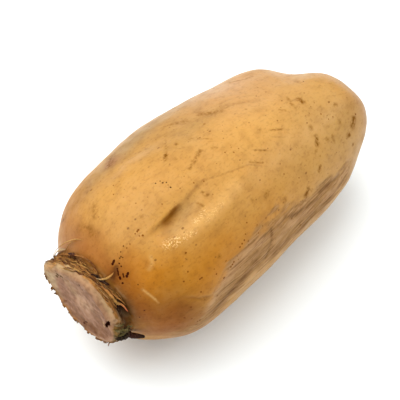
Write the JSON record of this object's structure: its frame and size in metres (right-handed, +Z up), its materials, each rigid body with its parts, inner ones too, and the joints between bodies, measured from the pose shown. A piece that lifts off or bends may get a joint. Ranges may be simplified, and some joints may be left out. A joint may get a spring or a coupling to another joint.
{
  "type": "lotus root",
  "caption": "Single segment of lotus root lying on its side: swollen ochre body, rounded at one end and cut square through its node at the other.",
  "frame": {"origin": "on the surface that the root rests on, under the middle of its bounding box", "axes": "+X along the root from the cut node to the rounded end, +Z up, +Y across it to the left when looking along +X"},
  "size_m": [0.1544, 0.0796, 0.0802],
  "materials": {
    "skin": "ochre skin, wet-looking satin sheen, mottled brown stains and fine dark specks",
    "cut_node": "matt pinkish-brown cut tissue with fine dark pores",
    "husk": "dry torn olive-brown fibres"
  },
  "bodies": {
    "root": {"lotus_root": "skin"}
  },
  "joints": []
}
